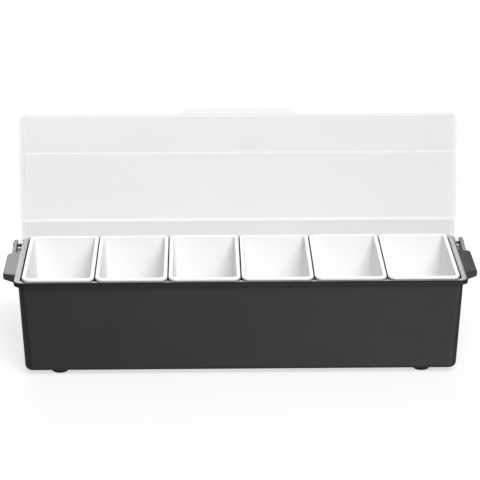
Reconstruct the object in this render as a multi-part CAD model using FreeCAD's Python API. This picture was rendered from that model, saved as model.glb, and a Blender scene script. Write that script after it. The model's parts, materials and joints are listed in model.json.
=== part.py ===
import FreeCAD, Part
import math
import os

V = FreeCAD.Vector

# Tub, in millimetres and degrees
rim_length = 490.0
rim_depth = 150.0
rim_height = 112.5
rim_corner = 9.0
rim_width = 7.0
rim_edge_round = 1.5
mouth_round = 1.0
flange_thickness = 2.5
lip_drop = 5.0
lip_wall = 2.4
tub_wall = 2.5
tub_floor = 3.0
tub_draft = 2.4
mouth_corner = 4.0
tub_bottom_round = 6.0

# The origin lies on the floor under the middle of the opened outline, this far behind the tub's middle
tub_forward = 30.5

# Feet
foot_height = 6.0
foot_radius = 9.2
foot_flat_radius = 5.0
foot_collar = 2.2
foot_seat_depth = 0.8
foot_seat_clearance = 0.2
foot_end_inset = 46.0
foot_side_inset = 28.5

# Trays
tray_count = 6
tray_gap = 1.4
tray_end_gap = 1.7
tray_rest = 2.2
tray_clearance = 0.6
tray_rim_height = 2.6
tray_rim_wall = 1.2
tray_wall = 1.4
tray_depth_inside = 76.0
tray_draft = 3.0
tray_corner = 5.6
tray_rim_corner = 8.2
tray_floor_round = 5.0
tray_edge_round = 0.6

# End handles
handle_reach = 14.5
handle_front = 42.0
handle_rear = 35.0
handle_front_taper = 9.0
handle_rear_taper = 2.0
handle_step = 3.0
handle_fall = 1.3
handle_edge_thickness = 6.7
handle_root_thickness = 10.7
handle_corner = 4.5
handle_round = 1.8
handle_skin = 2.4
handle_rib = 2.0
handle_boss_width = 9.0

# Hinge
hinge_inset = 7.0
hinge_drop = 7.5
finger_inner = 6.0
finger_thickness = 3.8
finger_radius = 6.5
finger_root = 12.0
web_length = 24.0
web_fall = 5.0
web_thickness = 4.0
pin_radius = 1.6
pin_fit = 0.02
pin_running_fit = 0.08
pin_head_radius = 3.2
pin_head_height = 1.6
pin_head_round = 0.8
pin_end_gap = 0.5

# Screws
screw_radius = 1.75
screw_fit = 0.05
screw_head_radius = 3.5
screw_head_height = 2.0
screw_head_round = 0.9
screw_bite = 7.0
screw_hole_extra = 1.0
screw_drop = 8.0
screw_spacing = 40.0

# Lid, drawn closed and then opened about the hinge
lid_end_gap = 1.5
lid_front_gap = 2.7
lid_rear_gap = 1.0
lid_wall = 2.0
lid_draft = 2.0
lid_corner = 8.0
lid_rest_gap = 0.3
lid_front_rise = 21.2
lid_crown_rise = 36.0
lid_front_slope_depth = 40.5
lid_rear_slope_depth = 31.6
lid_rear_rise = 3.5
lid_front_crease_round = 3.0
lid_rear_crease_round = 6.0
lid_open_angle = 105.0
lid_stop_gap = 0.3
ear_radius = 5.2
ear_pad = 0.3
tab_width = 131.0
tab_reach = 6.2
tab_thickness = 2.2
tab_rise = 15.0
tab_tip_round = 1.0

# How far a cutting body runs past what it cuts, and the share of it within which two places are one
overrun = 5.0
match_share = 0.001

# Places that several pieces share
opening_length = rim_length - 2 * rim_width
opening_depth = rim_depth - 2 * rim_width
rim_end = rim_length / 2
rim_rear = rim_depth / 2
hinge_y = rim_rear - hinge_inset
hinge_z = rim_height - hinge_drop
handle_top = rim_height - handle_step
handle_edge_top = handle_top - handle_fall
handle_outer = rim_end + handle_reach
lip_bottom = rim_height - lip_drop
finger_x = rim_end + finger_inner
tray_pitch = (opening_length - 2 * tray_end_gap + tray_gap) / tray_count
tray_flange = tray_rest + tray_clearance
tiny = overrun * match_share


def slope(degrees):
    return math.tan(math.radians(degrees))


def rounded_wire(length, depth, radius, z):
    """Outline of a rectangle with round corners, centred on the Z axis."""
    half_x = length / 2
    half_y = depth / 2
    inset = radius * (1 - math.sqrt(0.5))
    ends = []
    arcs = []
    for index, (sx, sy) in enumerate(((1, 1), (-1, 1), (-1, -1), (1, -1))):
        pair = [V(sx * half_x, sy * (half_y - radius), z), V(sx * (half_x - radius), sy * half_y, z)]
        if index % 2:
            pair.reverse()
        middle = V(sx * (half_x - inset), sy * (half_y - inset), z)
        arcs.append(Part.Arc(pair[0], middle, pair[1]).toShape())
        ends.append(pair)
    edges = []
    for index in range(len(arcs)):
        after = ends[(index + 1) % len(ends)]
        edges.append(arcs[index])
        edges.append(Part.LineSegment(ends[index][1], after[0]).toShape())
    return Part.Wire(edges)


def prism(length, depth, radius, z_low, z_high):
    outline = Part.Face(rounded_wire(length, depth, radius, z_low))
    return outline.extrude(V(0, 0, z_high - z_low))


def drafted_block(length, depth, radius, draft, z_full, z_low, z_high):
    """Block with its full size at z_full, whose flat walls lean in by the draft towards the bottom."""
    rings = []
    for z in (z_low, z_high):
        inset = (z_full - z) * slope(draft)
        x = length / 2 - inset
        y = depth / 2 - inset
        rings.append([V(x, y, z), V(-x, y, z), V(-x, -y, z), V(x, -y, z)])
    low, high = rings
    faces = [polygon(low[::-1]), polygon(high)]
    for here in range(len(low)):
        after = (here + 1) % len(low)
        faces.append(polygon([low[here], low[after], high[after], high[here]]))
    block = Part.makeSolid(Part.makeShell(faces))
    upright = [e for e in block.Edges if e.BoundBox.ZLength > (z_high - z_low) / 2]
    return block.makeFillet(radius, upright)


def edges_at(shape, z):
    return [e for e in shape.Edges if abs(e.BoundBox.ZMin - z) < tiny and abs(e.BoundBox.ZMax - z) < tiny]


def edges_along_x(shape, y, z):
    found = []
    for edge in shape.Edges:
        box = edge.BoundBox
        flat = box.YLength < tiny and box.ZLength < tiny
        if flat and abs(box.YMin - y) < tiny and abs(box.ZMin - z) < tiny:
            found.append(edge)
    return found


def polygon(points):
    return Part.Face(Part.makePolygon(list(points) + [points[0]]))


def across(points, x_low, x_high):
    """Solid between two X planes whose outline is given as (Y, Z) points."""
    face = polygon([V(x_low, y, z) for y, z in points])
    return face.extrude(V(x_high - x_low, 0, 0))


def rod(radius, x_low, x_high, y, z):
    return Part.makeCylinder(radius, x_high - x_low, V(x_low, y, z), V(1, 0, 0))


def mirrored(shape):
    return shape.mirror(V(0, 0, 0), V(1, 0, 0))


def tub_body():
    """Outside of the tub below its rim, without the hollow."""
    body = drafted_block(opening_length + 2 * tub_wall, opening_depth + 2 * tub_wall,
                         mouth_corner + tub_wall, tub_draft, rim_height,
                         foot_height, rim_height - flange_thickness / 2)
    return body.makeFillet(tub_bottom_round, edges_at(body, foot_height))


def tub_rim():
    """Flat flange with its turned-down lip, before the mouth is cut."""
    rim = prism(rim_length, rim_depth, rim_corner, lip_bottom, rim_height)
    rim = rim.makeFillet(rim_edge_round, edges_at(rim, rim_height))
    channel = prism(rim_length - 2 * lip_wall, rim_depth - 2 * lip_wall, rim_corner - lip_wall,
                    lip_bottom - overrun, rim_height - flange_thickness)
    return rim.cut(channel)


def tub_hollow():
    floor = foot_height + tub_floor
    hollow = drafted_block(opening_length, opening_depth, mouth_corner, tub_draft, rim_height,
                           floor, rim_height + overrun)
    return hollow.makeFillet(tub_bottom_round - tub_wall, edges_at(hollow, floor))


def foot_places():
    half_x = rim_end - foot_end_inset
    half_y = rim_rear - foot_side_inset
    return {
        "foot_front_left": V(-half_x, -half_y, 0),
        "foot_front_right": V(half_x, -half_y, 0),
        "foot_rear_left": V(-half_x, half_y, 0),
        "foot_rear_right": V(half_x, half_y, 0),
    }


def on_end_wall(shape, y):
    """Stands a shape drawn along +X square on the inside of the right end wall, at the screws' height."""
    moved = shape.copy()
    moved.rotate(V(0, 0, 0), V(0, 1, 0), tub_draft)
    inside = opening_length / 2 - screw_drop * slope(tub_draft)
    moved.translate(V(inside, y, rim_height - screw_drop))
    return moved


def screw_rows():
    return (-screw_spacing / 2, screw_spacing / 2)


def screw_hole():
    depth = tub_wall + screw_bite + screw_hole_extra
    return rod(screw_radius + screw_fit, -overrun, depth, 0, 0)


def make_tub():
    tub = tub_body().fuse(tub_rim()).cut(tub_hollow())
    for place in foot_places().values():
        seat = Part.makeCylinder(foot_radius + foot_seat_clearance, foot_height + foot_seat_depth, place)
        tub = tub.cut(seat)
    for y in screw_rows():
        hole = on_end_wall(screw_hole(), y)
        tub = tub.cut(hole).cut(mirrored(hole))
    mouth = [e for e in edges_at(tub, rim_height) if abs(e.CenterOfMass.x) <= opening_length / 2
             and abs(e.CenterOfMass.y) <= opening_depth / 2]
    return tub.removeSplitter().makeFillet(mouth_round, mouth)


def make_foot(place):
    """Domed rubber foot: a short collar in its seat, then a round shoulder down to a flat pad."""
    top = foot_height + foot_seat_depth
    collar = top - foot_collar
    shoulder = math.sqrt(0.5)
    drop = foot_radius - foot_flat_radius
    points = [V(0, 0, 0), V(foot_flat_radius, 0, 0),
              V(foot_flat_radius + drop * shoulder, 0, collar * (1 - shoulder)),
              V(foot_radius, 0, collar), V(foot_radius, 0, top), V(0, 0, top)]
    edges = [Part.LineSegment(points[0], points[1]).toShape(),
             Part.Arc(points[1], points[2], points[3]).toShape(),
             Part.LineSegment(points[3], points[4]).toShape(),
             Part.LineSegment(points[4], points[5]).toShape(),
             Part.LineSegment(points[5], points[0]).toShape()]
    foot = Part.Face(Part.Wire(edges)).revolve(V(0, 0, 0), V(0, 0, 1), 360)
    foot.translate(place)
    return foot


def make_tray(index):
    """Tapered food tray with a turned-down rim that rests on the front and the rear of the tub's rim."""
    length = tray_pitch - tray_gap
    depth = opening_depth + 2 * tray_rest
    top = rim_height + tray_rim_height
    floor = top - tray_depth_inside
    outer = (length - 2 * tray_flange, depth - 2 * tray_flange)
    inner = (outer[0] - 2 * tray_wall, outer[1] - 2 * tray_wall)
    body = drafted_block(outer[0], outer[1], tray_corner, tray_draft, top,
                         floor - tray_wall, top - tray_wall / 2)
    body = body.makeFillet(tray_floor_round, edges_at(body, floor - tray_wall))
    band = prism(length, depth, tray_rim_corner, rim_height, top)
    band = band.makeFillet(tray_edge_round, edges_at(band, top))
    channel = prism(length - 2 * tray_rim_wall, depth - 2 * tray_rim_wall, tray_rim_corner - tray_rim_wall,
                    rim_height - overrun, top - tray_wall)
    hollow = drafted_block(inner[0], inner[1], tray_corner - tray_wall, tray_draft, top,
                           floor, top + overrun)
    hollow = hollow.makeFillet(tray_floor_round - tray_wall, edges_at(hollow, floor))
    tray = band.cut(channel).fuse(body).cut(hollow)
    mouth = [e for e in edges_at(tray, top) if abs(e.CenterOfMass.x) <= inner[0] / 2
             and abs(e.CenterOfMass.y) <= inner[1] / 2]
    tray = tray.removeSplitter().makeFillet(tray_edge_round, mouth)
    tray.translate(V(tray_pitch * (index - (tray_count - 1) / 2), 0, 0))
    return tray


def tangent_point(y, z, side):
    """Where a line from (y, z) touches the round end of the hinge finger, above or below the axis."""
    reach = math.hypot(hinge_y - y, hinge_z - z)
    turn = math.acos(finger_radius / reach)
    angle = math.atan2(z - hinge_z, y - hinge_y) - side * turn
    return hinge_y + finger_radius * math.cos(angle), hinge_z + finger_radius * math.sin(angle)


def hinge_finger():
    """Finger behind the grip: its top and bottom run tangent into the round end about the hinge axis."""
    start = handle_rear - finger_root
    bottom = handle_edge_top - handle_edge_thickness
    high = tangent_point(start, handle_edge_top, 1)
    low = tangent_point(start, bottom, -1)
    tip = V(finger_x, hinge_y + finger_radius, hinge_z)
    corners = [V(finger_x, y, z) for y, z in ((start, bottom), (start, handle_edge_top), high, low)]
    edges = [Part.LineSegment(corners[0], corners[1]).toShape(),
             Part.LineSegment(corners[1], corners[2]).toShape(),
             Part.Arc(corners[2], tip, corners[3]).toShape(),
             Part.LineSegment(corners[3], corners[0]).toShape()]
    return Part.Face(Part.Wire(edges)).extrude(V(finger_thickness, 0, 0))


def handle_web():
    """Ramp in the angle between the grip, the tub's lip and the finger, falling towards the hinge axis."""
    start = handle_rear - finger_root
    end = handle_rear + web_length
    low = handle_top - web_fall
    under = handle_edge_top - handle_edge_thickness
    points = [(start, under), (start, handle_edge_top), (handle_rear, handle_edge_top),
              (end, low), (end, low - web_thickness), (handle_rear, under)]
    return across(points, rim_end, finger_x + finger_thickness / 2)


def grip_pockets():
    """Hollows in the underside of the grip, either side of the screw bosses and of a middle rib."""
    boss = handle_boss_width / 2
    front = handle_skin + handle_front_taper - handle_front
    rear = handle_rear - handle_rear_taper - handle_skin
    low_row, high_row = screw_rows()
    spans = ((front, low_row - boss), (low_row + boss, -handle_rib / 2),
             (handle_rib / 2, high_row - boss), (high_row + boss, rear))
    x_low = rim_end + handle_skin / 2
    x_high = handle_outer - handle_skin
    z_low = handle_top - handle_root_thickness - overrun
    z_high = handle_edge_top - handle_skin
    return [Part.makeBox(x_high - x_low, y_high - y_low, z_high - z_low, V(x_low, y_low, z_low))
            for y_low, y_high in spans]


def grip_block():
    """Grip before its edges are rounded: a section along the tub's end, cut to a tapered plan."""
    inside = opening_length / 2
    section = [V(rim_end, -handle_front, handle_top), V(handle_outer, -handle_front, handle_edge_top),
               V(handle_outer, -handle_front, handle_edge_top - handle_edge_thickness),
               V(inside, -handle_front, handle_top - handle_root_thickness),
               V(inside, -handle_front, lip_bottom), V(rim_end, -handle_front, lip_bottom)]
    bar = polygon(section).extrude(V(0, handle_front + handle_rear, 0))
    plan = [V(inside, -handle_front, 0), V(rim_end, -handle_front, 0),
            V(handle_outer, handle_front_taper - handle_front, 0),
            V(handle_outer, handle_rear - handle_rear_taper, 0),
            V(rim_end, handle_rear, 0), V(inside, handle_rear, 0)]
    return bar.common(polygon(plan).extrude(V(0, 0, rim_height)))


def sloping_edges(grip, side, root):
    """Edges round the grip's sloping top (side 1) or underside (side -1) that lie outside its root."""
    flats = [f for f in grip.Faces if isinstance(f.Surface, Part.Plane) and f.BoundBox.ZLength > tiny]
    face = max(flats, key=lambda f: side * f.normalAt(0, 0).z)
    return [e for e in face.Edges if e.BoundBox.XMax > root + tiny]


def make_handle():
    """Right end handle: a grip that seats on the tub's end wall under the lip, with the hinge finger."""
    grip = grip_block()
    upright = [e for e in grip.Edges if e.BoundBox.XMin > handle_outer - tiny and e.BoundBox.YLength < tiny]
    grip = grip.makeFillet(handle_corner, upright)
    grip = grip.makeFillet(handle_round, sloping_edges(grip, 1, rim_end))
    grip = grip.makeFillet(handle_round, sloping_edges(grip, -1, opening_length / 2))
    for pocket in grip_pockets():
        grip = grip.cut(pocket)
    handle = grip.fuse([hinge_finger(), handle_web()]).cut(tub_body())
    for y in screw_rows():
        handle = handle.cut(on_end_wall(screw_hole(), y))
    bore = rod(pin_radius + pin_fit, rim_end, finger_x + finger_thickness + overrun, hinge_y, hinge_z)
    return handle.cut(bore).removeSplitter()


def make_pin():
    """Right hinge pin: a plain shank with a domed head outside the finger."""
    outer = finger_x + finger_thickness
    shank = rod(pin_radius, rim_end + pin_end_gap, outer + pin_head_height / 2, hinge_y, hinge_z)
    head = rod(pin_head_radius, outer, outer + pin_head_height, hinge_y, hinge_z)
    rim = [e for e in head.Edges if e.BoundBox.XMin > outer]
    return head.makeFillet(pin_head_round, rim).fuse(shank).removeSplitter()


def make_screws():
    """The pair of screws at the right end, heads inside the tub."""
    shank = rod(screw_radius, -screw_head_height / 2, tub_wall + screw_bite, 0, 0)
    head = rod(screw_head_radius, -screw_head_height, 0, 0, 0)
    rim = [e for e in head.Edges if e.BoundBox.XMax < -screw_head_height / 2]
    screw = head.makeFillet(screw_head_round, rim).fuse(shank).removeSplitter()
    return Part.makeCompound([on_end_wall(screw, y) for y in screw_rows()])


def lid_bottom():
    """Lower edge of the lid: just above the grips when closed, and clear of the tub's rear wall when open.

    The edge of the rear wall swings down against the tub's leaning rear wall, which stops the lid.
    """
    angle = math.radians(lid_open_angle)
    out = rim_rear + lid_rear_gap + lid_wall - hinge_y
    wall = opening_depth / 2 + tub_wall
    lean = slope(tub_draft)
    rise = math.sin(angle) - math.cos(angle) * lean
    room = wall + lid_stop_gap - hinge_y - out * math.cos(angle)
    room -= (rim_height - hinge_z + out * math.sin(angle)) * lean
    return max(handle_top + lid_rest_gap, hinge_z + room / rise)


def roof_line(inset):
    """The roof's front panel, crown and rear panel as (Y, Z) points, moved in by the inset."""
    front = rim_rear + lid_front_gap + lid_wall
    rear = rim_rear + lid_rear_gap + lid_wall
    crown = rim_height + lid_crown_rise
    points = [(-front, lid_bottom() + lid_front_rise), (-rim_rear + lid_front_slope_depth, crown),
              (rim_rear - lid_rear_slope_depth, crown), (rear, rim_height + lid_rear_rise)]
    lines = []
    for (y0, z0), (y1, z1) in zip(points, points[1:]):
        run = math.hypot(y1 - y0, z1 - z0)
        along = ((y1 - y0) / run, (z1 - z0) / run)
        lines.append(((y0 + along[1] * inset, z0 - along[0] * inset), along))
    first, last = lines[0], lines[-1]
    moved = [(first[0][0] - first[1][0] * overrun, first[0][1] - first[1][1] * overrun)]
    for (p, u), (q, v) in zip(lines, lines[1:]):
        cross = u[0] * v[1] - u[1] * v[0]
        step = ((q[0] - p[0]) * v[1] - (q[1] - p[1]) * v[0]) / cross
        moved.append((p[0] + u[0] * step, p[1] + u[1] * step))
    reach = 2 * lid_rear_slope_depth
    moved.append((last[0][0] + last[1][0] * reach, last[0][1] + last[1][1] * reach))
    return moved


def lid_form(inset, z_low, round_shift):
    """Walls and roof of the lid as a solid, moved in by the inset, with its two creases rounded."""
    length = rim_length + 2 * (lid_end_gap + lid_wall - inset)
    depth = rim_depth + lid_front_gap + lid_rear_gap + 2 * (lid_wall - inset)
    crown = rim_height + lid_crown_rise
    walls = drafted_block(length, depth, lid_corner - inset, -lid_draft, hinge_z, z_low, crown + overrun)
    walls.translate(V(0, (lid_rear_gap - lid_front_gap) / 2, 0))
    roof = roof_line(inset)
    outline = roof + [(roof[-1][0], z_low - overrun), (roof[0][0], z_low - overrun)]
    form = walls.common(across(outline, -rim_length, rim_length))
    form = form.makeFillet(lid_front_crease_round - round_shift, edges_along_x(form, *roof[1]))
    return form.makeFillet(lid_rear_crease_round - round_shift, edges_along_x(form, *roof[2]))


def lid_ear():
    """Right hinge ear: a round pad about the axis that runs up into the end wall."""
    inner = rim_end + lid_end_gap
    outer = inner + lid_wall + ear_pad
    pad = rod(ear_radius, inner, outer, hinge_y, hinge_z)
    top = rim_height + lid_rear_rise
    neck = across([(hinge_y - ear_radius, hinge_z), (hinge_y + ear_radius, hinge_z),
                   (hinge_y + ear_radius, top), (hinge_y - ear_radius, top)], inner, outer)
    return pad.fuse(neck)


def finger_tab():
    """Lifting tab across the middle of the front wall, with slanted ends."""
    z = lid_bottom() + tab_rise
    wall = rim_rear + lid_front_gap + lid_wall - (z - hinge_z) * slope(lid_draft)
    root = wall - lid_wall / 2
    tip = wall + tab_reach
    half = tab_width / 2
    points = [V(-half, -root, z), V(half, -root, z), V(half, -wall, z),
              V(half - tab_reach, -tip, z), V(tab_reach - half, -tip, z), V(-half, -wall, z)]
    tab = polygon(points).extrude(V(0, 0, tab_thickness))
    front = [e for e in tab.Edges if e.BoundBox.YMax < -tip + tiny and e.BoundBox.ZLength < tiny]
    return tab.makeFillet(tab_tip_round, front)


def make_lid():
    low = lid_bottom()
    shell = lid_form(0, low, 0).cut(lid_form(lid_wall, low - overrun, lid_wall))
    ear = lid_ear()
    lid = shell.fuse([ear, mirrored(ear), finger_tab()]).removeSplitter()
    bore = rod(pin_radius + pin_running_fit, rim_end - overrun, finger_x, hinge_y, hinge_z)
    lid = lid.cut(bore).cut(mirrored(bore))
    lid.rotate(V(0, hinge_y, hinge_z), V(-1, 0, 0), lid_open_angle)
    return lid


def make_pieces():
    handle = make_handle()
    pin = make_pin()
    screws = make_screws()
    pieces = {
        "ice_tub": make_tub(),
        "lid": make_lid(),
        "end_handle_left": mirrored(handle),
        "end_handle_right": handle,
        "handle_screws_left": mirrored(screws),
        "handle_screws_right": screws,
        "hinge_pin_left": mirrored(pin),
        "hinge_pin_right": pin,
    }
    for index in range(tray_count):
        pieces["tray_%d" % (index + 1)] = make_tray(index)
    for name, place in foot_places().items():
        pieces[name] = make_foot(place)
    return pieces


os.makedirs("parts", exist_ok=True)
for name, shape in make_pieces().items():
    shape.translate(V(0, -tub_forward, 0))
    shape.exportStep("parts/%s.step" % name)
    box = shape.BoundBox
    print(name, len(shape.Solids), shape.isValid(), round(shape.Volume), [round(v, 2) for v in
          (box.XMin, box.YMin, box.ZMin, box.XMax, box.YMax, box.ZMax)])
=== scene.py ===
"""Looks of a chilled condiment server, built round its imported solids.

The tub and the trays are rounded rectangles carried along a profile, and the feet are turned profiles.
The lid, the handles, the pins and the screws are the solids themselves. Every surface has a procedural
finish. Lengths are metres in the solids' own frame.
"""
import json
import math

import bpy
import numpy as np
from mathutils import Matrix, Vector


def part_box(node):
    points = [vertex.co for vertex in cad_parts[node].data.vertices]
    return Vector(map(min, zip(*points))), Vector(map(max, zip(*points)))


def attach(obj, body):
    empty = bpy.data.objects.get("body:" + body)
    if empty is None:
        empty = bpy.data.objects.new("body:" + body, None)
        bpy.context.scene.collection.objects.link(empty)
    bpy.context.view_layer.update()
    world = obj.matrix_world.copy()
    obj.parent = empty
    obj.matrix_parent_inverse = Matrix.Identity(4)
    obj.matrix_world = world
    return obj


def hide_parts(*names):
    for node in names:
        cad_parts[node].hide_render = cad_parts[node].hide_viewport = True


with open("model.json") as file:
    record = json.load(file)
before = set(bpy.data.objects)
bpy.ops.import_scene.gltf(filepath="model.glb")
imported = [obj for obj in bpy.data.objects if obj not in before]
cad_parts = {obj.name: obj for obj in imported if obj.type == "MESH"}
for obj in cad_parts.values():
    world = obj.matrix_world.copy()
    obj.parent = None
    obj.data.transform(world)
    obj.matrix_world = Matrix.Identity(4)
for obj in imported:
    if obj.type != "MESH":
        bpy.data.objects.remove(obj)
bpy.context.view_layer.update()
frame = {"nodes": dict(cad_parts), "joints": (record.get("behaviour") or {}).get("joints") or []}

bl_info = {
    "name": "Chilled condiment server",
    "version": (1, 0, 0),
    "blender": (4, 5, 0),
    "location": "View3D > Sidebar > Server",
    "description": "Builds the visible pieces of a chilled condiment server and its studio",
    "category": "Object",
}

TRAY_NODES = sorted(n for n in frame["nodes"] if n.startswith("tray_"))
FOOT_NODES = sorted(n for n in frame["nodes"] if n.startswith("foot_"))
HINGE = next(j for j in frame["joints"] if j["name"] == "lid_hinge")

# Edges of a new piece that turn by more than this stay sharp.
SHARP_ANGLE = math.radians(40.0)
# Corner radius that is left where a profile runs inside the centre of its corners.
LEAST_CORNER = 2e-4
# A tray rim's lower edges have a radius of its wall's thickness over this.
TIP_PARTS = 6
# Points on each quarter circle of a moulding's corners, and round a foot.
TUB_CORNER_STEPS = 13
TRAY_CORNER_STEPS = 11
FOOT_STEPS = 48

# Soft panels of the studio: where each stands, the point that it faces, and its width and height.
BACK_PANEL = {"place": (-0.345, 2.4, 0.82), "aim": (-0.345, 0.0, 0.1), "size": (1.87, 1.4)}
HIGH_PANEL = {"place": (-0.085, 2.4, 1.75), "aim": (-0.085, 0.0, 0.1), "size": (1.67, 0.5)}
KEY_PANEL = {"place": (0.5, -2.2, 2.3), "aim": (0.0, 0.0, 0.1), "size": (1.8, 1.4)}
# Half the side of the studio floor.
FLOOR_REACH = 6.0
# Width of the camera's sensor in millimetres.
SENSOR_WIDTH = 36.0
# Parts of a direction to the right, to the back and up, between which the surround's brightness changes.
LEAN_SPAN = (-0.08, 0.08)
FRONT_SPAN = (-0.1, -0.9)
SIDE_SPAN = (-0.8, -0.2)
FADE_SPAN = (-0.25, 0.05)
HIGH_SPAN = (0.2, 0.9)

# Range of a noise value that is spread over a range of numbers, and the two values that tones stand at.
NOISE_RANGE = (0.3, 0.7)
TONE_STOPS = (0.35, 0.65)
WHITE = (1.0, 1.0, 1.0, 1.0)
# Share of a clear plastic's usual reflection that the lid has.
LID_SHINE = (0.1, 0.1, 0.1, 1.0)


def length(name, description, default):
    """Property for a length in metres."""
    return bpy.props.FloatProperty(name=name, description=description, default=default,
                                   unit="LENGTH", precision=5)


def angle(name, description, degrees):
    """Property for an angle, given here in degrees."""
    return bpy.props.FloatProperty(name=name, description=description, default=math.radians(degrees),
                                   subtype="ANGLE")


def number(name, description, default):
    """Property for a plain number."""
    return bpy.props.FloatProperty(name=name, description=description, default=default)


def colour(name, description, default):
    """Property for a colour."""
    return bpy.props.FloatVectorProperty(name=name, description=description, default=default,
                                         size=3, subtype="COLOR", min=0.0, max=1.0)


class TubSizes(bpy.types.PropertyGroup):
    """Sizes of the ice tub that its outer box doesn't give."""
    rim_width: length("Rim width", "Width of the flat rim", 0.007)
    rim_corner: length("Rim corner", "Corner radius of the rim in plan", 0.009)
    mouth_corner: length("Mouth corner", "Corner radius of the mouth in plan", 0.004)
    base_corner: length("Base corner", "Outer corner radius in plan at the foot of the walls", 0.0092)
    rim_round: length("Rim round", "Radius along the rim's outer edge", 0.0015)
    mouth_round: length("Mouth round", "Radius along the mouth's edge", 0.001)
    flange: length("Flange thickness", "Thickness of the flat rim", 0.0025)
    lip_drop: length("Lip drop", "Height of the turned-down lip", 0.005)
    lip_wall: length("Lip wall", "Thickness of the turned-down lip", 0.0024)
    lip_round: length("Lip round", "Radius along the lip's lower edges", 0.0004)
    wall: length("Wall", "Thickness of the tub's walls", 0.0025)
    floor: length("Floor", "Thickness of the tub's floor", 0.003)
    bottom_round: length("Bottom round", "Outer radius where walls meet the floor", 0.006)
    draft: angle("Draft", "Lean of the walls", 2.4)
    polish_start: length("Polish start", "Depth below the rim where its polish starts", 0.0012)
    polish_full: length("Polish full", "Depth below the rim where its polish is full", 0.0004)


class TraySizes(bpy.types.PropertyGroup):
    """Sizes of a food tray that its outer box doesn't give."""
    flange: length("Flange width", "Width of the rim round the tray", 0.0028)
    rim_height: length("Rim height", "Height of the turned-down rim", 0.0026)
    rim_wall: length("Rim wall", "Thickness of the turned-down rim", 0.0012)
    rim_corner: length("Rim corner", "Corner radius of the rim in plan", 0.0082)
    corner: length("Corner", "Corner radius of the body in plan", 0.0056)
    wall: length("Wall", "Thickness of the walls and floor", 0.0014)
    floor_round: length("Floor round", "Outer radius where walls meet the floor", 0.005)
    edge_round: length("Edge round", "Radius along the rim's edges", 0.0006)
    draft: angle("Draft", "Lean of the walls", 3.0)


class FootSizes(bpy.types.PropertyGroup):
    """Sizes of a rubber foot that its outer box doesn't give."""
    edge_round: length("Edge round", "Radius round the pad that the foot stands on", 0.0009)


class LidSizes(bpy.types.PropertyGroup):
    """Places on the closed lid, from the tub's rim, where its plastic is bent or thick, and the painted
    highlights along them.
    """
    open_angle: angle("Open angle", "How far the lid is open at rest", 105.0)
    crown_rise: length("Crown rise", "Height of both creases above the rim", 0.036)
    front_crease: length("Front crease", "From the rim's front back to the front crease", 0.0405)
    rear_crease: length("Rear crease", "From the rim's rear forward to the rear crease", 0.0316)
    # The bright lines along the creases are painted highlights.
    front_line: length("Front line", "Half width of the bright line along the front crease", 0.001)
    rear_line: length("Rear line", "Half width of the bright line along the rear crease", 0.0017)
    line_spread: number("Line spread", "Half width where a bright line has faded out, as a share", 1.5)
    wall: length("Wall", "Thickness of the lid's walls", 0.002)
    # The whiter end and front walls are painted highlights.
    wall_highlight: number("Wall white", "How white the end and front walls are, as a share of a crease", 0.5)
    front_gap: length("Front gap", "From the rim's front out to the lid's front wall", 0.0017)


class Finishes(bpy.types.PropertyGroup):
    """Colours of the moulded pieces, and darker tones that paint shade on the tub's rim and lip and on the
    lid's rear slope.
    """
    charcoal: colour("Charcoal", "Satin plastic of the tub", (0.017, 0.0171, 0.0174))
    # Painted shade: the tub's rim and lip get this colour, darker than the walls.
    lip: colour("Lip", "Satin plastic of the tub's rim and lip", (0.008, 0.008, 0.0082))
    black: colour("Black", "Satin plastic of the end handles", (0.034, 0.0342, 0.035))
    white: colour("White", "Food-grade plastic of the trays", (0.85, 0.85, 0.845))
    clear: colour("Clear", "Tint of the lid's clear plastic", (0.84, 0.84, 0.842))
    # Painted shade: the lid behind its rear crease is tinted darker than the rest.
    painted_slope_shade: colour("Clear slope", "Tint of the lid behind its rear crease", (0.76, 0.76, 0.762))
    rubber: colour("Rubber", "Rubber of the feet", (0.016, 0.016, 0.016))
    steel: colour("Steel", "Stainless steel of the screws", (0.58, 0.58, 0.57))
    pin: colour("Pin black", "Plastic of the hinge pins", (0.006, 0.006, 0.0065))


class StageView(bpy.types.PropertyGroup):
    """Camera and light of the studio."""
    azimuth: angle("Azimuth", "Turn of the camera about the object", -1.10)
    elevation: angle("Elevation", "Height of the camera as an angle", 19.55)
    distance: length("Distance", "From the camera to the point it looks at", 2.359)
    lens: bpy.props.FloatProperty(name="Lens", description="Focal length in millimetres on a 36 mm sensor",
                                  default=160.35, subtype="DISTANCE_CAMERA")
    aim_height: length("Aim height", "Height of the point that the camera looks at", 0.1339)
    floor: colour("Floor", "Pale studio floor", (0.32, 0.32, 0.32))
    floor_glow: number("Floor glow", "Light that the floor gives by itself, as a light table does", 0.68)
    side_sky: number("Side surround", "Brightness of the surround at the sides and behind", 0.22)
    side_front: number("Side share in front", "Share of the side brightness that is left in front", 0.1)
    front_sky: number("Front surround", "Brightness of the surround low behind the camera", 0.57)
    front_lean: number("Front lean", "How much brighter the front is at the right, as a share", 1.0)
    front_fade: number("Front fade", "Share of the front brightness that is left above eye level", 0.42)
    high_sky: number("High surround", "Brightness of the surround overhead", 0.0125)
    back_light: number("Back light", "Power of the panel behind the object, in watts", 14.2)
    high_light: number("High light", "Power of the strip above that panel, in watts", 10.0)
    key_light: number("Key light", "Power of the soft panel high at the front, in watts", 105.0)


def arc(centre, radius, start, stop, steps):
    """Points (offset, height) on a circle arc from one angle to another, in degrees from outward to up."""
    turn = np.radians(np.linspace(start, stop, steps))
    return np.stack([centre[0] + radius * np.cos(turn), centre[1] + radius * np.sin(turn)], 1)


def stations(half, radius, profile):
    """Rows of half length, half depth, corner radius and height: a rectangle grown by each offset."""
    profile = np.atleast_2d(np.asarray(profile, float))
    offset = profile[:, 0]
    corner = np.maximum(radius + offset, LEAST_CORNER)
    return np.stack([half[0] + offset, half[1] + offset, corner, profile[:, 1]], 1)


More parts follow.
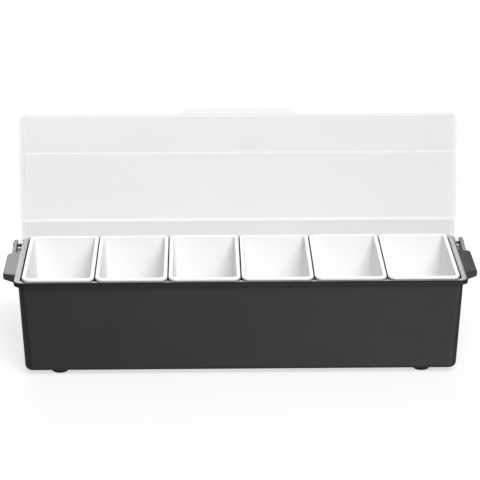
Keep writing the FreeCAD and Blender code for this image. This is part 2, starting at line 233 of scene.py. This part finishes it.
def skin(rings, around):
    """Faces of a closed surface of stacked rings: quads from ring to ring, and a flat face over each end.

    A ring runs anticlockwise as seen from above, and the outside goes down from ring to ring.
    """
    ring = np.arange(rings - 1)[:, None] * around
    here = np.arange(around)[None, :]
    after = (here + 1) % around
    below = ring + around
    quads = np.stack([ring + here, below + here, below + after, ring + after], -1).reshape(-1, 4)
    first = np.arange(around)
    last = (rings - 1) * around + first[::-1]
    return quads.tolist() + [first.tolist(), last.tolist()]


def swept_rectangle(rows, corner_steps):
    """Closed surface of rounded rectangles stacked along a profile.

    Each row is one rectangle. Its corners are quarter circles about (half length - radius,
    half depth - radius), so a point is that centre plus the radius along the corner's angle.
    """
    half_x, half_y, radius, height = (rows[:, k, None, None] for k in range(4))
    quarter = np.arange(4)[None, :, None] * math.pi / 2
    turn = quarter + np.linspace(0, math.pi / 2, corner_steps)[None, None, :]
    side_x = np.array([1, -1, -1, 1])[None, :, None]
    side_y = np.array([1, 1, -1, -1])[None, :, None]
    x = side_x * (half_x - radius) + radius * np.cos(turn)
    y = side_y * (half_y - radius) + radius * np.sin(turn)
    z = np.broadcast_to(height, x.shape)
    return np.stack([x, y, z], -1).reshape(-1, 3), skin(len(rows), 4 * corner_steps)


def turned(profile, around):
    """Closed surface of revolution: each point (radius, height) of a profile goes round Z."""
    turn = np.linspace(0, 2 * math.pi, around, endpoint=False)[None, :]
    radius, height = profile[:, 0, None], profile[:, 1, None]
    x, y = radius * np.cos(turn), radius * np.sin(turn)
    z = np.broadcast_to(height, x.shape)
    return np.stack([x, y, z], -1).reshape(-1, 3), skin(len(profile), around)


def box_of(node):
    """Half length and half depth of a node's box, its lowest and highest level, and its middle in plan."""
    low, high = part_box(node)
    half = ((high.x - low.x) / 2, (high.y - low.y) / 2)
    middle = np.array([(low.x + high.x) / 2, (low.y + high.y) / 2, 0.0])
    return half, low.z, high.z, middle


def make_piece(name, points, faces, material, body):
    """Puts points and faces into a mesh that rides on a body, smooth but for its sharp edges."""
    mesh = bpy.data.meshes.new(name)
    mesh.from_pydata(np.asarray(points, float).tolist(), [], faces)
    mesh.polygons.foreach_set("use_smooth", np.ones(len(mesh.polygons), bool))
    mesh.update()
    mesh.set_sharp_from_angle(angle=SHARP_ANGLE)
    if mesh.validate():
        raise RuntimeError("%s has faces that Blender had to mend" % name)
    piece = bpy.data.objects.new(name, mesh)
    bpy.context.scene.collection.objects.link(piece)
    mesh.materials.append(material)
    weighted = piece.modifiers.new("Even shading", "WEIGHTED_NORMAL")
    weighted.keep_sharp = True
    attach(piece, body)
    return piece


def dress(node, material):
    """Gives a solid that already has its final shape a finish."""
    mesh = frame["nodes"][node].data
    mesh.materials.clear()
    mesh.materials.append(material)


def calculate(tree, operation, *values):
    """Math node on numbers or other nodes' values."""
    node = tree.nodes.new("ShaderNodeMath")
    node.operation = operation
    for socket, value in zip(node.inputs, values):
        if isinstance(value, float):
            socket.default_value = value
        else:
            tree.links.new(value, socket)
    return node.outputs["Value"]


def ramp(tree, source, start, stop, low=0.0, high=1.0, kind="SMOOTHSTEP"):
    """Goes from low to high as a value goes from start to stop, smoothly or in a straight line."""
    node = tree.nodes.new("ShaderNodeMapRange")
    node.interpolation_type = kind
    for socket, value in (("From Min", start), ("From Max", stop), ("To Min", low), ("To Max", high)):
        node.inputs[socket].default_value = value
    tree.links.new(source, node.inputs["Value"])
    return node.outputs["Result"]


def mixed_colour(tree, share, first, second):
    """One colour that goes over into another as a share goes from 0 to 1."""
    node = tree.nodes.new("ShaderNodeMix")
    node.data_type = "RGBA"
    tree.links.new(share, node.inputs["Factor"])
    sockets = (socket for socket in node.inputs if socket.type == "RGBA")
    for socket, value in zip(sockets, (first, second)):
        if isinstance(value, tuple):
            socket.default_value = value
        else:
            tree.links.new(value, socket)
    return next(socket for socket in node.outputs if socket.type == "RGBA")


def new_material(name):
    """A material with its Principled shader and object coordinates."""
    material = bpy.data.materials.new(name)
    material.use_nodes = True
    nodes = material.node_tree.nodes
    shader = next(n for n in nodes if n.type == "BSDF_PRINCIPLED")
    where = nodes.new("ShaderNodeTexCoord")
    return material, shader, where


def noise(material, where, scale, detail=3.0):
    """Noise value over object coordinates."""
    node = material.node_tree.nodes.new("ShaderNodeTexNoise")
    node.inputs["Scale"].default_value = scale
    node.inputs["Detail"].default_value = detail
    node.inputs["Roughness"].default_value = 0.5
    material.node_tree.links.new(where.outputs["Object"], node.inputs["Vector"])
    return node.outputs["Fac"]


def spread(material, source, low, high):
    """Maps a noise value onto a range of numbers."""
    return ramp(material.node_tree, source, *NOISE_RANGE, low, high, kind="LINEAR")


def tones(material, source, tone, low, high):
    """Varies a colour between two brightnesses of itself along a noise value."""
    node = material.node_tree.nodes.new("ShaderNodeValToRGB")
    for element, share, place in zip(node.color_ramp.elements, (low, high), TONE_STOPS):
        element.position = place
        element.color = (tone[0] * share, tone[1] * share, tone[2] * share, 1.0)
    material.node_tree.links.new(source, node.inputs["Fac"])
    return node.outputs["Color"]


def grain(material, shader, source, depth, strength):
    """Bump of a moulded surface from a noise value."""
    node = material.node_tree.nodes.new("ShaderNodeBump")
    node.inputs["Distance"].default_value = depth
    node.inputs["Strength"].default_value = strength
    material.node_tree.links.new(source, node.inputs["Height"])
    material.node_tree.links.new(node.outputs["Normal"], shader.inputs["Normal"])


def moulded_plastic(name, tone, rough, grain_scale, grain_depth, grain_strength):
    """Moulded plastic: nearly even colour, cloudy roughness and a fine spark-eroded grain."""
    material, shader, where = new_material(name)
    link = material.node_tree.links.new
    cloud = noise(material, where, scale=9.0, detail=4.0)
    patches = noise(material, where, scale=35.0)
    fine = noise(material, where, scale=grain_scale, detail=2.0)
    link(tones(material, cloud, tone, low=0.93, high=1.07), shader.inputs["Base Color"])
    link(spread(material, patches, low=rough[0], high=rough[1]), shader.inputs["Roughness"])
    grain(material, shader, fine, grain_depth, grain_strength)
    shader.inputs["IOR"].default_value = 1.5
    return material


def tub_plastic(name, tone, lip_shade_tone, s, rim_height):
    """Charcoal plastic: walls with a fine grain, a lip and rim darkened by painted shade, and a polished and
    slightly wavy flat rim.
    """
    material, shader, where = new_material(name)
    tree = material.node_tree
    link = tree.links.new
    axes = tree.nodes.new("ShaderNodeSeparateXYZ")
    link(where.outputs["Object"], axes.inputs["Vector"])
    up = axes.outputs["Z"]
    lip_low = rim_height - s.lip_drop
    # Painted shade: this share is 1 on the lip and the rim above it, where the darker colour goes.
    lip = ramp(tree, up, lip_low, lip_low + s.lip_round, kind="LINEAR")
    polish = ramp(tree, up, rim_height - s.polish_start, rim_height - s.polish_full, kind="LINEAR")

    def wall_or_rim(wall, rim):
        """One value on the walls that goes over into another on the rim."""
        node = tree.nodes.new("ShaderNodeMix")
        link(polish, node.inputs["Factor"])
        link(wall, node.inputs["A"])
        link(rim, node.inputs["B"])
        return node.outputs["Result"]

    satin = spread(material, noise(material, where, scale=35.0), low=0.34, high=0.42)
    gloss = spread(material, noise(material, where, scale=60.0), low=0.12, high=0.2)
    fine = noise(material, where, scale=1500.0, detail=2.0)
    ripple = noise(material, where, scale=130.0, detail=2.0)
    cloud = noise(material, where, scale=9.0, detail=4.0)
    shades = [tones(material, cloud, shade, low=0.93, high=1.07) for shade in (tone, lip_shade_tone)]
    link(mixed_colour(tree, lip, *shades), shader.inputs["Base Color"])
    link(wall_or_rim(satin, gloss), shader.inputs["Roughness"])
    link(polish, shader.inputs["Coat Weight"])
    shader.inputs["Coat Roughness"].default_value = 0.08
    grain(material, shader, wall_or_rim(fine, ripple), depth=0.00006, strength=0.25)
    shader.inputs["IOR"].default_value = 1.5
    return material


def white_plastic(name, tone):
    """Food-grade white plastic: smooth, with a slow drift of colour and gloss and a faint flow ripple."""
    material, shader, where = new_material(name)
    link = material.node_tree.links.new
    drift = noise(material, where, scale=11.0, detail=1.0)
    patches = noise(material, where, scale=40.0, detail=1.0)
    ripple = noise(material, where, scale=450.0, detail=2.0)
    link(tones(material, drift, tone, low=0.994, high=1.004), shader.inputs["Base Color"])
    link(spread(material, patches, low=0.29, high=0.33), shader.inputs["Roughness"])
    grain(material, shader, ripple, depth=0.00003, strength=0.08)
    shader.inputs["IOR"].default_value = 1.49
    return material


def closed_place(tree, where, s):
    """How far right, back and up a place on the lid is, turned about the hinge to the closed lid."""
    closed = tree.nodes.new("ShaderNodeVectorRotate")
    closed.rotation_type = "AXIS_ANGLE"
    closed.inputs["Center"].default_value = HINGE["pos_m"]
    closed.inputs["Axis"].default_value = HINGE["axis"]
    closed.inputs["Angle"].default_value = -s.open_angle
    tree.links.new(where.outputs["Object"], closed.inputs["Vector"])
    axes = tree.nodes.new("ShaderNodeSeparateXYZ")
    tree.links.new(closed.outputs["Vector"], axes.inputs["Vector"])
    return [axes.outputs[name] for name in "XYZ"]


def lid_painted_highlights(tree, place, s, tub_low, tub_high):
    """Share of painted highlight on the lid from place to place: 1 along its creases, less in its walls,
    else 0.

    A crease's value falls off with the distance from its line. An end wall's rises with the distance from
    the middle, and the front wall's rises forwards.
    """
    right, back, up = place
    crown = tub_high.z + s.crown_rise
    bends = []
    for y, half in ((tub_low.y + s.front_crease, s.front_line), (tub_high.y - s.rear_crease, s.rear_line)):
        across = calculate(tree, "SUBTRACT", back, y)
        above = calculate(tree, "SUBTRACT", up, crown)
        squares = [calculate(tree, "MULTIPLY", side, side) for side in (across, above)]
        away = calculate(tree, "SQRT", calculate(tree, "ADD", *squares))
        bends.append(ramp(tree, away, half * s.line_spread, half))
    outward = calculate(tree, "ABSOLUTE", right)
    ends = ramp(tree, outward, tub_high.x - s.wall / 2, tub_high.x)
    front_face = tub_low.y - s.front_gap
    front = ramp(tree, back, front_face + s.wall / 2, front_face)
    walls = calculate(tree, "MULTIPLY", calculate(tree, "MAXIMUM", ends, front), s.wall_highlight)
    return calculate(tree, "MAXIMUM", calculate(tree, "MAXIMUM", *bends), walls)


def clear_plastic(name, tint, slope_shade, s, tub_low, tub_high):
    """Clear plastic with little shine: grey, with painted shade that makes it greyer behind the rear crease
    and painted highlights that make it white at bends and walls.
    """
    material, shader, where = new_material(name)
    tree = material.node_tree
    link = tree.links.new
    cloud = noise(material, where, scale=6.0)
    patches = noise(material, where, scale=20.0)
    waves = noise(material, where, scale=18.0, detail=1.0)
    place = closed_place(tree, where, s)
    rear_line = tub_high.y - s.rear_crease
    # Painted shade: this share tints the lid greyer behind its rear crease.
    behind = ramp(tree, place[1], rear_line, rear_line + s.wall)
    shades = [tones(material, cloud, tone, low=0.99, high=1.005) for tone in (tint, slope_shade)]
    tinted = mixed_colour(tree, behind, *shades)
    painted_highlight_share = lid_painted_highlights(tree, place, s, tub_low, tub_high)
    # Painted highlights: the creases and the end and front walls are mixed towards white.
    link(mixed_colour(tree, painted_highlight_share, tinted, WHITE), shader.inputs["Base Color"])
    link(spread(material, patches, low=0.01, high=0.03), shader.inputs["Roughness"])
    grain(material, shader, waves, depth=0.0001, strength=0.05)
    shader.inputs["Transmission Weight"].default_value = 1.0
    shader.inputs["Specular Tint"].default_value = LID_SHINE
    shader.inputs["IOR"].default_value = 1.5
    return material


def rubber(name, tone):
    """Soft matt rubber with a dusty bloom."""
    material, shader, where = new_material(name)
    link = material.node_tree.links.new
    bloom = noise(material, where, scale=220.0, detail=5.0)
    patches = noise(material, where, scale=90.0)
    fine = noise(material, where, scale=1400.0)
    link(tones(material, bloom, tone, low=0.8, high=1.5), shader.inputs["Base Color"])
    link(spread(material, patches, low=0.68, high=0.85), shader.inputs["Roughness"])
    grain(material, shader, fine, depth=0.00006, strength=0.4)
    return material


def turned_steel(name, tone):
    """Stainless steel with fine tool marks."""
    material, shader, where = new_material(name)
    link = material.node_tree.links.new
    marks = noise(material, where, scale=700.0, detail=4.0)
    patches = noise(material, where, scale=500.0)
    fine = noise(material, where, scale=2500.0)
    link(tones(material, marks, tone, low=0.85, high=1.1), shader.inputs["Base Color"])
    link(spread(material, patches, low=0.22, high=0.4), shader.inputs["Roughness"])
    grain(material, shader, fine, depth=0.00002, strength=0.3)
    shader.inputs["Metallic"].default_value = 1.0
    return material


def pale_floor(name, tone, glow):
    """Studio floor: pale, matt and slightly uneven, and it gives some light by itself."""
    material, shader, where = new_material(name)
    link = material.node_tree.links.new
    cloud = noise(material, where, scale=2.0)
    patches = noise(material, where, scale=5.0)
    link(tones(material, cloud, tone, low=0.995, high=1.005), shader.inputs["Base Color"])
    link(spread(material, patches, low=0.75, high=0.85), shader.inputs["Roughness"])
    shader.inputs["Emission Color"].default_value = WHITE
    shader.inputs["Emission Strength"].default_value = glow
    return material


def tub_rows(s, rim_half, bottom, height):
    """Profile of the tub from the inner floor up over the mouth, out along the rim and down outside."""
    lean = math.tan(s.draft)
    mouth = (rim_half[0] - s.rim_width, rim_half[1] - s.rim_width)
    inner_round = s.bottom_round - s.wall
    inner_turn = bottom + s.floor + inner_round
    outer_turn = bottom + s.bottom_round
    inner_foot = -(height - inner_turn) * lean
    outer_foot = s.wall - (height - outer_turn) * lean
    top = height - s.rim_round
    low = height - s.lip_drop
    under = height - s.flange
    mouth_rise = arc((s.mouth_round, height - s.mouth_round), s.mouth_round, 180, 90, steps=5)
    rim_fall = arc((-s.rim_round, top), s.rim_round, 90, 0, steps=6)
    lip_outer = arc((-s.lip_round, low + s.lip_round), s.lip_round, 0, -90, steps=4)
    lip_inner = arc((s.lip_round - s.lip_wall, low + s.lip_round), s.lip_round, -90, -180, steps=4)
    rim = np.vstack([rim_fall, lip_outer, lip_inner, [(-s.lip_wall, under)]])
    parts = [
        stations((mouth[0] + inner_foot, mouth[1] + inner_foot), s.base_corner - s.wall,
                 arc((-inner_round, inner_turn), inner_round, -90, 0, steps=8)),
        stations(mouth, s.mouth_corner, mouth_rise),
        stations(rim_half, s.rim_corner, rim),
        stations((mouth[0] + s.wall, mouth[1] + s.wall), s.mouth_corner + s.wall,
                 [(-s.flange * lean, under)]),
        stations((mouth[0] + outer_foot, mouth[1] + outer_foot), s.base_corner,
                 arc((-s.bottom_round, outer_turn), s.bottom_round, 0, -90, steps=12)),
    ]
    return np.vstack(parts)


def tray_rows(s, rim_half, bottom, top):
    """Profile of a tray from the inner floor up over its edge, down the rim and down outside."""
    lean = math.tan(s.draft)
    outer = (rim_half[0] - s.flange, rim_half[1] - s.flange)
    inner = (outer[0] - s.wall, outer[1] - s.wall)
    inner_round = s.floor_round - s.wall
    inner_turn = bottom + s.wall + inner_round
    outer_turn = bottom + s.floor_round
    inner_foot = -(top - inner_turn) * lean
    outer_foot = -(top - outer_turn) * lean
    under = top - s.wall
    low = top - s.rim_height
    edge = s.edge_round
    tip = s.rim_wall / TIP_PARTS
    edge_rise = arc((edge, top - edge), edge, 180, 90, steps=5)
    edge_fall = arc((-edge, top - edge), edge, 90, 0, steps=5)
    tip_outer = arc((-tip, low + tip), tip, 0, -90, steps=4)
    tip_inner = arc((tip - s.rim_wall, low + tip), tip, -90, -180, steps=4)
    rim = np.vstack([edge_fall, tip_outer, tip_inner, [(-s.rim_wall, under)]])
    parts = [
        stations((inner[0] + inner_foot, inner[1] + inner_foot), s.corner - s.wall,
                 arc((-inner_round, inner_turn), inner_round, -90, 0, steps=8)),
        stations(inner, s.corner - s.wall, edge_rise),
        stations(rim_half, s.rim_corner, rim),
        stations((outer[0] - s.wall * lean, outer[1] - s.wall * lean), s.corner, [(0.0, under)]),
        stations((outer[0] + outer_foot, outer[1] + outer_foot), s.corner,
                 arc((-s.floor_round, outer_turn), s.floor_round, 0, -90, steps=10)),
    ]
    return np.vstack(parts)


def foot_profile(s, radius, bottom, top):
    """Profile of a foot from the edge of its flat top down its side and round onto the pad."""
    side = arc((radius - s.edge_round, bottom + s.edge_round), s.edge_round, 0, -90, steps=8)
    return np.vstack([[(radius, top)], side])


class SERVER_OT_tub(bpy.types.Operator):
    """Make the charcoal ice tub with its flat rim and turned-down lip"""
    bl_idname = "server.tub"
    bl_label = "Ice tub"

    def execute(self, context):
        sizes = context.scene.tub_sizes
        half, bottom, top, middle = box_of("ice_tub")
        points, faces = swept_rectangle(tub_rows(sizes, half, bottom, top), TUB_CORNER_STEPS)
        finishes = context.scene.finishes
        finish = tub_plastic("satin charcoal plastic", finishes.charcoal, finishes.lip, sizes, top)
        piece = make_piece("ice_tub_moulding", points + middle, faces, finish, "base")
        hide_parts("ice_tub")
        return {"FINISHED"}


class SERVER_OT_trays(bpy.types.Operator):
    """Make the row of white food trays"""
    bl_idname = "server.trays"
    bl_label = "Food trays"

    def execute(self, context):
        finish = white_plastic("white food plastic", context.scene.finishes.white)
        for node in TRAY_NODES:
            half, bottom, top, middle = box_of(node)
            rows = tray_rows(context.scene.tray_sizes, half, bottom, top)
            points, faces = swept_rectangle(rows, TRAY_CORNER_STEPS)
            piece = make_piece(node + "_moulding", points + middle, faces, finish, node)
            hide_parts(node)
        return {"FINISHED"}


class SERVER_OT_lid(bpy.types.Operator):
    """Give the clear lid its finish"""
    bl_idname = "server.lid"
    bl_label = "Clear lid"

    def execute(self, context):
        low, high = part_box("ice_tub")
        scene = context.scene
        finish = clear_plastic("clear lid plastic", scene.finishes.clear, scene.finishes.painted_slope_shade,
                               scene.lid_sizes, low, high)
        dress("lid", finish)
        # Lamps shine through the thin clear plastic onto what is under it.
        frame["nodes"]["lid"].visible_shadow = False
        return {"FINISHED"}


class SERVER_OT_handles(bpy.types.Operator):
    """Give the end handles, their screws and the hinge pins their finishes"""
    bl_idname = "server.handles"
    bl_label = "Handles and pins"

    def execute(self, context):
        finishes = context.scene.finishes
        handle = moulded_plastic("satin black plastic", finishes.black, rough=(0.18, 0.25),
                                 grain_scale=1500.0, grain_depth=0.00004, grain_strength=0.25)
        pin = moulded_plastic("smooth black plastic", finishes.pin, rough=(0.2, 0.3),
                              grain_scale=2500.0, grain_depth=0.00002, grain_strength=0.2)
        steel = turned_steel("stainless steel", finishes.steel)
        for side in ("left", "right"):
            dress("end_handle_" + side, handle)
            dress("hinge_pin_" + side, pin)
            dress("handle_screws_" + side, steel)
        return {"FINISHED"}


class SERVER_OT_feet(bpy.types.Operator):
    """Make the rubber feet"""
    bl_idname = "server.feet"
    bl_label = "Rubber feet"

    def execute(self, context):
        finish = rubber("foot rubber", context.scene.finishes.rubber)
        for node in FOOT_NODES:
            half, bottom, top, middle = box_of(node)
            points, faces = turned(foot_profile(context.scene.foot_sizes, half[0], bottom, top), FOOT_STEPS)
            piece = make_piece(node + "_moulding", points + middle, faces, finish, "base")
            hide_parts(node)
        return {"FINISHED"}


def panel_light(name, power, place, aim, size):
    """Soft rectangular light that the camera doesn't see."""
    data = bpy.data.lights.new(name, "AREA")
    data.shape = "RECTANGLE"
    data.size, data.size_y = size
    data.energy = power
    lamp = bpy.data.objects.new(name, data)
    lamp.location = place
    lamp.rotation_euler = (Vector(aim) - Vector(place)).to_track_quat("-Z", "Y").to_euler()
    lamp.visible_camera = False
    bpy.context.scene.collection.objects.link(lamp)
    return lamp


def surround(view):
    """Studio surround: even at the sides and behind, brighter at the front right and dim overhead.

    Brightness is the side level times a fall towards the front, plus the front level times a rise towards
    the front, a lean towards the right and a fade upwards, plus the high level times a rise to the zenith.
    """
    world = bpy.data.worlds.new("studio surround")
    world.use_nodes = True
    tree = world.node_tree
    where = tree.nodes.new("ShaderNodeTexCoord")
    axes = tree.nodes.new("ShaderNodeSeparateXYZ")
    tree.links.new(where.outputs["Generated"], axes.inputs["Vector"])
    right, back, up = (axes.outputs[name] for name in "XYZ")
    lean = ramp(tree, right, *LEAN_SPAN, low=1.0 - view.front_lean, high=1.0 + view.front_lean)
    fade = ramp(tree, up, *FADE_SPAN, low=1.0, high=view.front_fade)
    ahead = ramp(tree, back, *FRONT_SPAN, high=view.front_sky)
    front = calculate(tree, "MULTIPLY", ahead, calculate(tree, "MULTIPLY", lean, fade))
    side = ramp(tree, back, *SIDE_SPAN, low=view.side_front * view.side_sky, high=view.side_sky)
    overhead = ramp(tree, up, *HIGH_SPAN, high=view.high_sky)
    level = calculate(tree, "ADD", calculate(tree, "ADD", front, side), overhead)
    tree.nodes["Background"].inputs["Color"].default_value = WHITE
    tree.links.new(level, tree.nodes["Background"].inputs["Strength"])
    return world


def studio_floor(material):
    """Flat square floor at the level that the feet stand on, which gloss doesn't mirror."""
    corners = [(x * FLOOR_REACH, y * FLOOR_REACH, 0.0) for x, y in ((-1, -1), (1, -1), (1, 1), (-1, 1))]
    mesh = bpy.data.meshes.new("studio_floor")
    mesh.from_pydata(corners, [], [(0, 1, 2, 3)])
    mesh.materials.append(material)
    floor = bpy.data.objects.new("studio_floor", mesh)
    bpy.context.scene.collection.objects.link(floor)
    floor.visible_glossy = False
    return floor


def studio_camera(view, target):
    """Camera at an angle and a distance from its target, which is in the middle of the picture."""
    data = bpy.data.cameras.new("camera")
    data.sensor_width = SENSOR_WIDTH
    data.lens = view.lens
    flat = math.cos(view.elevation)
    back = Vector((math.sin(view.azimuth) * flat, -math.cos(view.azimuth) * flat, math.sin(view.elevation)))
    camera = bpy.data.objects.new("camera", data)
    camera.location = target + back * view.distance
    camera.rotation_euler = (-back).to_track_quat("-Z", "Y").to_euler()
    bpy.context.scene.collection.objects.link(camera)
    return camera


class SERVER_OT_stage(bpy.types.Operator):
    """Set up the pale floor, the soft light and the camera"""
    bl_idname = "server.stage"
    bl_label = "Studio"

    def execute(self, context):
        view = context.scene.stage_view
        floor = studio_floor(pale_floor("pale floor", view.floor, view.floor_glow))
        context.scene.world = surround(view)
        panel_light("back panel", view.back_light, **BACK_PANEL)
        panel_light("high panel", view.high_light, **HIGH_PANEL)
        key = panel_light("key panel", view.key_light, **KEY_PANEL)
        key.visible_glossy = False
        low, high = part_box("ice_tub")
        target = Vector((0.0, (low.y + high.y) / 2, view.aim_height))
        context.scene.camera = studio_camera(view, target)
        context.scene.view_settings.view_transform = "Standard"
        return {"FINISHED"}


class SERVER_PT_build(bpy.types.Panel):
    """Buttons that build the server piece by piece"""
    bl_label = "Condiment server"
    bl_idname = "SERVER_PT_build"
    bl_space_type = "VIEW_3D"
    bl_region_type = "UI"
    bl_category = "Server"

    def draw(self, context):
        for operator in OPERATORS:
            self.layout.operator(operator.bl_idname)


GROUPS = {"tub_sizes": TubSizes, "tray_sizes": TraySizes, "foot_sizes": FootSizes, "lid_sizes": LidSizes,
          "finishes": Finishes, "stage_view": StageView}
OPERATORS = (SERVER_OT_tub, SERVER_OT_trays, SERVER_OT_lid, SERVER_OT_handles, SERVER_OT_feet,
             SERVER_OT_stage)


def register():
    """Makes the classes known and hangs each group of sizes on the scene."""
    for cls in (*GROUPS.values(), *OPERATORS, SERVER_PT_build):
        bpy.utils.register_class(cls)
    for name, cls in GROUPS.items():
        setattr(bpy.types.Scene, name, bpy.props.PointerProperty(type=cls))


def unregister():
    """Takes back what register does."""
    for name in GROUPS:
        delattr(bpy.types.Scene, name)
    for cls in reversed((*GROUPS.values(), *OPERATORS, SERVER_PT_build)):
        bpy.utils.unregister_class(cls)


def main():
    """Builds everything in order."""
    register()
    bpy.ops.server.tub()
    bpy.ops.server.trays()
    bpy.ops.server.lid()
    bpy.ops.server.handles()
    bpy.ops.server.feet()
    bpy.ops.server.stage()


if __name__ == "__main__":
    main()
